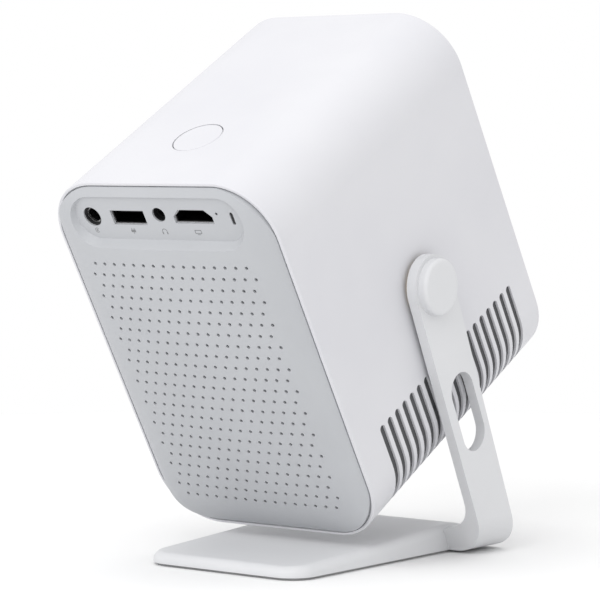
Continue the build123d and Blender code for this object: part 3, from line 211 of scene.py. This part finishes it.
def woven_mesh(name):
    """Dark dust mesh with crossing threads under the vent slots."""
    material, shader = new_material(name)
    thread = 0.0005
    across = ridges(material, HEAD_AHEAD, thread)
    up = ridges(material, HEAD_UP, thread)
    side = ridges(material, ACROSS, thread)
    weave = multiply(material, across, multiply(material, up, side))
    height = spread(material, weave, 0, 1, -1, 1)
    fluff = object_noise(material, 400, 3)
    tone = multiply(material, height, spread(material, fluff, 0.7, 1.2))
    colour = blend_colours(material, tone, (0.065, 0.065, 0.07), (0.12, 0.12, 0.125), 0.2, 0.9)
    link(material, colour, shader.inputs["Base Color"])
    link(material, spread(material, fluff, 0.6, 0.8), shader.inputs["Roughness"])
    link(material, relief(material, height, 0.4, 0.00008), shader.inputs["Normal"])
    shader.inputs["Specular IOR Level"].default_value = 0.25
    return material


def socket_metal_painted_shade(name):
    """Plated shell of a socket: its own bright metal at the lip, and painted shade making it dark
    deeper inside.
    """
    material, shader = new_material(name)
    depth = distance_along(material, HEAD_AHEAD)
    lip = PIVOT_HEIGHT * HEAD_AHEAD.z + SLEEVE_FRONT * MM
    grain = object_noise(material, 1200, 3)
    lit = blend_colours(material, grain, (0.45, 0.45, 0.46), (0.6, 0.6, 0.61))
    painted_shade_deep = blend_colours(material, grain, (0.006, 0.006, 0.006), (0.012, 0.012, 0.012))
    # Painted shade: past the lip the colour fades to near black with depth, standing in for the
    # shade inside the opening.
    mix = add_node(material, "ShaderNodeMix", data_type="RGBA")
    link(material, spread(material, depth, 0, 1, lip + 0.0002, lip + 0.0007), mix.inputs["Factor"])
    link(material, lit, mix.inputs[6])
    link(material, painted_shade_deep, mix.inputs[7])
    link(material, mix.outputs[2], shader.inputs["Base Color"])
    link(material, spread(material, grain, 0.3, 0.45), shader.inputs["Roughness"])
    shader.inputs["Metallic"].default_value = 0.8
    return material


def circuit_board(name):
    """Green solder mask with faint copper tracks."""
    material, shader = new_material(name)
    tracks = multiply(
        material,
        ridges(material, ACROSS, 0.0016),
        ridges(material, HEAD_AHEAD, 0.0041),
    )
    dust = object_noise(material, 500, 3)
    lines = spread(material, tracks, 0, 1, -1, 1)
    colour = blend_colours(material, lines, (0.01, 0.07, 0.03), (0.03, 0.13, 0.06), 0.55, 0.7)
    link(material, colour, shader.inputs["Base Color"])
    link(material, spread(material, dust, 0.25, 0.45), shader.inputs["Roughness"])
    link(material, relief(material, lines, 0.2, 0.00003), shader.inputs["Normal"])
    return material


shell_white = moulded("shell_white", (0.615, 0.615, 0.645), (0.645, 0.645, 0.67))
# The stand's white is a little lighter than the shell's: painted light lifting the base top in the
# head's shade.
stand_white = moulded("stand_white", (0.63, 0.635, 0.65), (0.66, 0.665, 0.68))
# The rear panel's white is darker than the shell's: partly a slightly greyer plastic, mostly painted
# shade for a panel facing down and back.
panel_white = moulded("panel_white", (0.43, 0.44, 0.46), (0.455, 0.465, 0.485))
cover_grey = moulded("cover_grey", (0.20, 0.20, 0.205), (0.25, 0.25, 0.255), rough=(0.5, 0.65))
pad_rubber = moulded(
    "pad_rubber",
    (0.34, 0.34, 0.345),
    (0.40, 0.40, 0.405),
    rough=(0.75, 0.95),
    grain=1500,
    depth=0.00005,
    specular=0.2,
)
black_plastic = moulded(
    "black_plastic",
    (0.006, 0.006, 0.007),
    (0.012, 0.012, 0.013),
    rough=(0.45, 0.6),
    specular=0.2,
)
chassis_plastic = moulded(
    "chassis_plastic",
    (0.03, 0.03, 0.032),
    (0.045, 0.045, 0.047),
    rough=(0.5, 0.65),
)
fan_plastic = moulded(
    "fan_plastic",
    (0.012, 0.012, 0.013),
    (0.022, 0.022, 0.023),
    rough=(0.3, 0.4),
)
speaker_black = moulded(
    "speaker_black",
    (0.008, 0.008, 0.008),
    (0.02, 0.02, 0.02),
    rough=(0.6, 0.8),
    grain=900,
    depth=0.0001,
)
smoked_plastic = moulded(
    "smoked_plastic",
    (0.05, 0.05, 0.055),
    (0.07, 0.07, 0.075),
    rough=(0.12, 0.2),
    grain=400,
)
front_black = moulded(
    "front_black",
    (0.006, 0.006, 0.007),
    (0.010, 0.010, 0.011),
    rough=(0.05, 0.09),
    grain=300,
    depth=0.000002,
    specular=0.5,
)
steel = bare_metal("zinc_steel", (0.45, 0.45, 0.46), (0.6, 0.6, 0.6), (0.3, 0.45))
brass = bare_metal("turned_brass", (0.62, 0.44, 0.18), (0.75, 0.55, 0.25), (0.22, 0.35))
plated_metal = bare_metal("nickel_plate", (0.65, 0.65, 0.66), (0.8, 0.8, 0.8), (0.15, 0.28))
sink_aluminium = bare_metal(
    "sink_aluminium",
    (0.66, 0.67, 0.68),
    (0.78, 0.79, 0.8),
    (0.3, 0.45),
    stretch=(1, 1, 8),
)
led_copper = bare_metal("led_copper", (0.6, 0.3, 0.18), (0.75, 0.4, 0.24), (0.25, 0.4))
lens_glass = clear_optic(
    "lens_glass",
    (0.66, 0.70, 0.78),
    (0.70, 0.74, 0.82),
    (0.0, 0.01),
    tint=(0.75, 0.68, 1.0, 1),
    ior=1.6,
)
optic_plastic = clear_optic("optic_plastic", (0.93, 0.93, 0.92), (0.98, 0.98, 0.97), (0.05, 0.12))
lcd_glass = clear_optic("lcd_glass", (0.10, 0.12, 0.14), (0.16, 0.18, 0.2), (0.03, 0.08))
led_lens = clear_optic("led_lens", (0.5, 0.5, 0.52), (0.65, 0.65, 0.66), (0.2, 0.35))
# Socket metal with painted shade deeper inside the openings.
socket_shell_painted_shade = socket_metal_painted_shade("socket_metal_painted_shade")

finish_of_slot = {
    "stand_white": stand_white,
    "shell_white": shell_white,
    "panel_white": panel_white,
    "button_white": shell_white,
    "cap_white": stand_white,
    "cover_grey": cover_grey,
    "pad_rubber": pad_rubber,
    "mesh_grey": woven_mesh("dust_mesh"),
    "front_black": front_black,
    "black_plastic": black_plastic,
    "chassis_plastic": chassis_plastic,
    "fan_plastic": fan_plastic,
    "speaker_black": speaker_black,
    "board_green": circuit_board("circuit_board"),
    "plated_metal": plated_metal,
    "steel": steel,
    "brass": brass,
    "sink_aluminium": sink_aluminium,
    "led_copper": led_copper,
    "lens_glass": lens_glass,
    "optic_plastic": optic_plastic,
    "lcd_glass": lcd_glass,
    "led_lens": led_lens,
}
finish_of_node = dict.fromkeys(("usb_socket", "hdmi_socket", "dc_contact"), socket_shell_painted_shade)
slot_of_node = {part["node"]: part["material_slot"] for part in frame["record"]["subparts"]}
for node_name, node in frame["nodes"].items():
    finish = finish_of_node.get(node_name, finish_of_slot[slot_of_node[node_name]])
    for material_slot in node.material_slots:
        material_slot.material = finish


# ---------------------------------------------------------------- outlines and solids on the head


def round_outline(x, z, radius, steps=ROUND_STEPS):
    angles = [2 * math.pi * i / steps for i in range(steps)]
    return [(x + radius * math.cos(a), z + radius * math.sin(a)) for a in angles]


def bar_outline(x, z, width, height):
    corners = [(-1, -1), (1, -1), (1, 1), (-1, 1)]
    return [(x + u * width / 2, z + v * height / 2) for u, v in corners]


def arc_outline(x, z, inner, outer, start, end, steps=SMALL_ROUND_STEPS):
    """A band round a centre from one angle to another, in degrees."""
    angles = [math.radians(start + (end - start) * i / steps) for i in range(steps + 1)]
    outside = [(x + outer * math.cos(a), z + outer * math.sin(a)) for a in angles]
    inside = [(x + inner * math.cos(a), z + inner * math.sin(a)) for a in reversed(angles)]
    return outside + inside


def usb_outline(inset):
    """The wide opening with square corners."""
    return bar_outline(USB_X, USB_HEIGHT, USB_WIDTH - 2 * inset, USB_TALL - 2 * inset)


def hdmi_outline(inset):
    """The wide opening whose upper corners are cut off."""
    side = HDMI_WIDTH / 2 - inset
    flat = HDMI_TOP / 2 - 0.65 * inset
    rise = HDMI_TALL / 2 - inset
    corners = [(flat, rise), (-flat, rise), (-side, 0), (-side, -rise), (side, -rise), (side, 0)]
    return [(HDMI_X + u, HDMI_HEIGHT + v) for u, v in corners]


def window_outline(steps=12):
    """The upright slot with round ends."""
    outline = []
    for end, start in ((WINDOW_REACH, 0), (-WINDOW_REACH, math.pi)):
        for i in range(steps + 1):
            angle = start + math.pi * i / steps
            x = WINDOW_X + WINDOW_RADIUS * math.cos(angle)
            outline.append((x, WINDOW_HEIGHT + end + WINDOW_RADIUS * math.sin(angle)))
    return outline


def pull_forward(shape, faces, travel):
    """A closed solid from flat faces, grown along the head's y."""
    grown = bmesh.ops.extrude_face_region(shape, geom=faces)
    moved = [item for item in grown["geom"] if isinstance(item, bmesh.types.BMVert)]
    bmesh.ops.translate(shape, verts=moved, vec=(0, travel, 0))


def draw_solid(shape, outline, front, back):
    """A closed solid over an outline in the head's x and z."""
    face = shape.faces.new([shape.verts.new((x, back, z)) for x, z in outline])
    pull_forward(shape, [face], front - back)


def draw_sleeve(shape, outside, inside, front, back):
    """A closed tube wall between two outlines that have the same number of corners."""
    edges = []
    for outline in (outside, inside):
        ring = [shape.verts.new((x, back, z)) for x, z in outline]
        edges += [shape.edges.new(pair) for pair in zip(ring, ring[1:] + ring[:1])]
    band = bmesh.ops.bridge_loops(shape, edges=edges)
    pull_forward(shape, band["faces"], front - back)


def add_to_head(name, shape, finish):
    """A piece drawn in the level head, in mm, put in its place on the head."""
    bmesh.ops.recalc_face_normals(shape, faces=shape.faces)
    bmesh.ops.transform(shape, matrix=HEAD @ Matrix.Scale(MM, 4), verts=shape.verts)
    mesh = bpy.data.meshes.new(name)
    shape.to_mesh(mesh)
    shape.free()
    mesh.materials.append(finish)
    piece = bpy.data.objects.new(name, mesh)
    bpy.context.scene.collection.objects.link(piece)
    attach(piece, "head")


# ---------------------------------------------------------------- signs printed under the ports


def make_sign(name, outlines):
    """One printed sign made of separate patches of ink."""
    shape = bmesh.new()
    for outline in outlines:
        draw_solid(shape, outline, INK_FRONT, INK_BACK)
    add_to_head(name, shape, sign_ink)


def power_outlines():
    """A dot in an open ring."""
    dot, inside, outside = 0.32, 0.68, 0.9
    return [
        round_outline(DC_X, SIGN_HEIGHT, dot, SMALL_ROUND_STEPS),
        arc_outline(DC_X, SIGN_HEIGHT, inside, outside, 40, 320),
    ]


def plug_outlines():
    """A plug body with two prongs above and its lead below."""
    body_width, body_height = 1.8, 0.9
    prong_width, prong_height, prong_offset = 0.3, 0.4, 0.5
    reach = 0.75
    outlines = [bar_outline(USB_X, SIGN_HEIGHT, body_width, body_height)]
    for across, up in ((-prong_offset, reach), (prong_offset, reach), (0, -reach)):
        outlines.append(bar_outline(USB_X + across, SIGN_HEIGHT + up, prong_width, prong_height))
    return outlines


def headphone_outlines():
    """A head band over two ear pads."""
    inside, outside = 0.85, 1.05
    pad_width, pad_height, pad_offset, pad_drop = 0.42, 0.85, 0.9, 0.5
    outlines = [arc_outline(AUDIO_X, SIGN_HEIGHT, inside, outside, 0, 180)]
    for across in (-pad_offset, pad_offset):
        outlines.append(bar_outline(AUDIO_X + across, SIGN_HEIGHT - pad_drop, pad_width, pad_height))
    return outlines


def screen_outlines():
    """A screen frame over its foot."""
    line, width, foot_width, side_height = 0.22, 2.6, 1.3, 0.84
    top, bottom, foot = 0.7, -0.4, -0.85
    middle = SIGN_HEIGHT + (top + bottom) / 2
    return [
        bar_outline(HDMI_X, SIGN_HEIGHT + top, width, line),
        bar_outline(HDMI_X, SIGN_HEIGHT + bottom, width, line),
        bar_outline(HDMI_X - (width - line) / 2, middle, line, side_height),
        bar_outline(HDMI_X + (width - line) / 2, middle, line, side_height),
        bar_outline(HDMI_X, SIGN_HEIGHT + foot, foot_width, line),
    ]


sign_ink = moulded("sign_ink", (0.15, 0.155, 0.16), (0.2, 0.205, 0.21), rough=(0.5, 0.65))
make_sign("power_sign", power_outlines())
make_sign("plug_sign", plug_outlines())
make_sign("headphone_sign", headphone_outlines())
make_sign("screen_sign", screen_outlines())


# ---------------------------------------------------------------- socket noses in the port openings


def make_sleeve(name, outside, inside, finish, front=SLEEVE_FRONT):
    shape = bmesh.new()
    draw_sleeve(shape, outside, inside, front, SLEEVE_BACK)
    add_to_head(name, shape, finish)


def make_plug(name, outline, finish, front):
    shape = bmesh.new()
    draw_solid(shape, outline, front, SLEEVE_BACK)
    add_to_head(name, shape, finish)


def dc_circle(radius):
    return round_outline(DC_X, DC_HEIGHT, radius)


def audio_circle(radius):
    return round_outline(AUDIO_X, AUDIO_HEIGHT, radius)


# The USB and HDMI noses carry the socket metal with painted shade inside.
make_sleeve("usb_nose", usb_outline(SLEEVE_GAP), usb_outline(SLEEVE_WALL), socket_shell_painted_shade)
make_sleeve("hdmi_nose", hdmi_outline(SLEEVE_GAP), hdmi_outline(SLEEVE_WALL), socket_shell_painted_shade)
make_sleeve("dc_nose", dc_circle(DC_RADIUS - SLEEVE_GAP), dc_circle(2.72), black_plastic)
make_sleeve("dc_ring", dc_circle(2.68), dc_circle(2.38), steel, DC_RING_FRONT)
make_sleeve(
    "audio_nose",
    audio_circle(AUDIO_RADIUS - SLEEVE_GAP),
    audio_circle(2.15),
    black_plastic,
    AUDIO_FRONT,
)
make_plug("receiver_window", window_outline(), front_black, WINDOW_FRONT)
led_circle = round_outline(LED_X, LED_HEIGHT, LED_RADIUS, SMALL_ROUND_STEPS)
make_plug("led_guide", led_circle, smoked_plastic, LED_FRONT)


# ---------------------------------------------------------------- floor, light, camera


FLOOR_RADIUS = 0.5
CAMERA_PLACE = Vector((0.5483, -0.7141, 0.1332))
CAMERA_AHEAD = Vector((-0.6116, 0.7893, -0.0539))
CAMERA_LENS = 163.2
CAMERA_SENSOR = 36


def make_floor():
    """A round pale floor under the object."""
    mesh = bpy.data.meshes.new("floor")
    shape = bmesh.new()
    bmesh.ops.create_circle(shape, cap_ends=True, segments=96, radius=FLOOR_RADIUS)
    shape.to_mesh(mesh)
    shape.free()
    floor = bpy.data.objects.new("floor", mesh)
    bpy.context.scene.collection.objects.link(floor)
    material, shader = new_material("floor_paper")
    tone = object_noise(material, 3, 2)
    colour = blend_colours(material, tone, (0.87, 0.87, 0.87), (0.89, 0.89, 0.89))
    link(material, colour, shader.inputs["Base Color"])
    shader.inputs["Roughness"].default_value = 0.9
    shader.inputs["Specular IOR Level"].default_value = 0.1
    mesh.materials.append(material)


def add_area(name, place, aim, size, power):
    """A soft rectangular lamp turned towards a point."""
    data = bpy.data.lights.new(name, "AREA")
    data.shape = "RECTANGLE"
    data.size, data.size_y = size
    data.energy = power
    lamp = bpy.data.objects.new(name, data)
    lamp.location = place
    lamp.rotation_euler = (Vector(aim) - Vector(place)).to_track_quat("-Z", "Y").to_euler()
    bpy.context.scene.collection.objects.link(lamp)


def make_camera():
    data = bpy.data.cameras.new("camera")
    data.sensor_width = CAMERA_SENSOR
    data.lens = CAMERA_LENS
    data.clip_start = 0.01
    camera = bpy.data.objects.new("camera", data)
    camera.location = CAMERA_PLACE
    camera.rotation_euler = CAMERA_AHEAD.to_track_quat("-Z", "Y").to_euler()
    bpy.context.scene.collection.objects.link(camera)
    bpy.context.scene.camera = camera


def make_world():
    world = bpy.data.worlds.new("studio")
    world.use_nodes = True
    background = world.node_tree.nodes["Background"]
    background.inputs["Color"].default_value = (1, 1, 1, 1)
    background.inputs["Strength"].default_value = 1.0
    bpy.context.scene.world = world


make_floor()
make_world()
add_area("overhead", place=(0.0, -0.1, 1.2), aim=(0, 0, 0.1), size=(1.2, 1.2), power=2.2)
add_area("rear_key", place=(0.1, -0.85, 0.7), aim=(0, 0, 0.05), size=(0.9, 0.4), power=3.8)
make_camera()
bpy.context.scene.view_settings.view_transform = "Standard"
